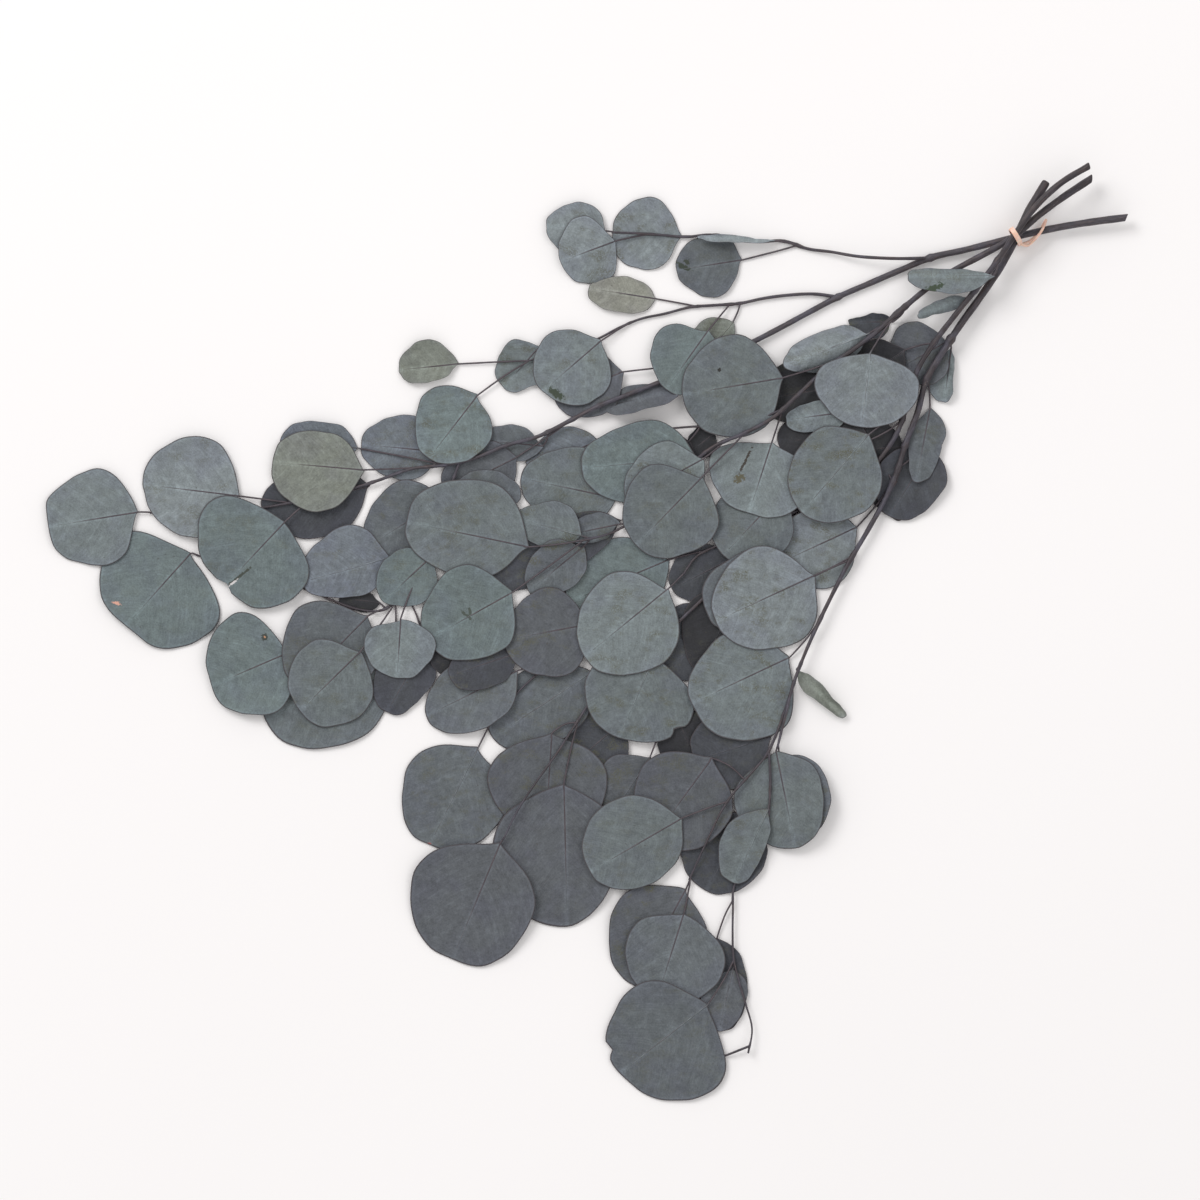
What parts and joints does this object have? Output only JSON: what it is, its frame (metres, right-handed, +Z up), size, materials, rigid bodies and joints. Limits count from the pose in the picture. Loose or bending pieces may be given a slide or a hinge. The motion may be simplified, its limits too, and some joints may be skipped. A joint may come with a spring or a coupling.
{
  "type": "tied eucalyptus stem bunch",
  "caption": "Bunch of dried round-leaved eucalyptus stems tied with a rubber band, lying flat; leaves fan out from crossing cut stems.",
  "frame": {"origin": "middle of the bunch's outline on the surface that it lies on", "axes": "+X along the bunch's longest side, from the leafy end towards the cut stems; +Y across it, from the hanging tips to the tied end; +Z up from the surface"},
  "size_m": [0.6468, 0.5625, 0.0243],
  "materials": {
    "leaf_upper": "matte dusty grey-green dried leaf on dark twigs",
    "leaf_middle": "matte dusty grey-green dried leaf on dark twigs",
    "leaf_lower": "matte dusty grey-green dried leaf on dark twigs",
    "leaf_right": "matte dusty grey-green dried leaf on dark twigs",
    "band": "matte salmon rubber"
  },
  "bodies": {
    "root": {"upper_stem": "leaf_upper", "middle_stem": "leaf_middle", "lower_stem": "leaf_lower", "right_stem": "leaf_right", "rubber_band": "band"}
  },
  "joints": []
}
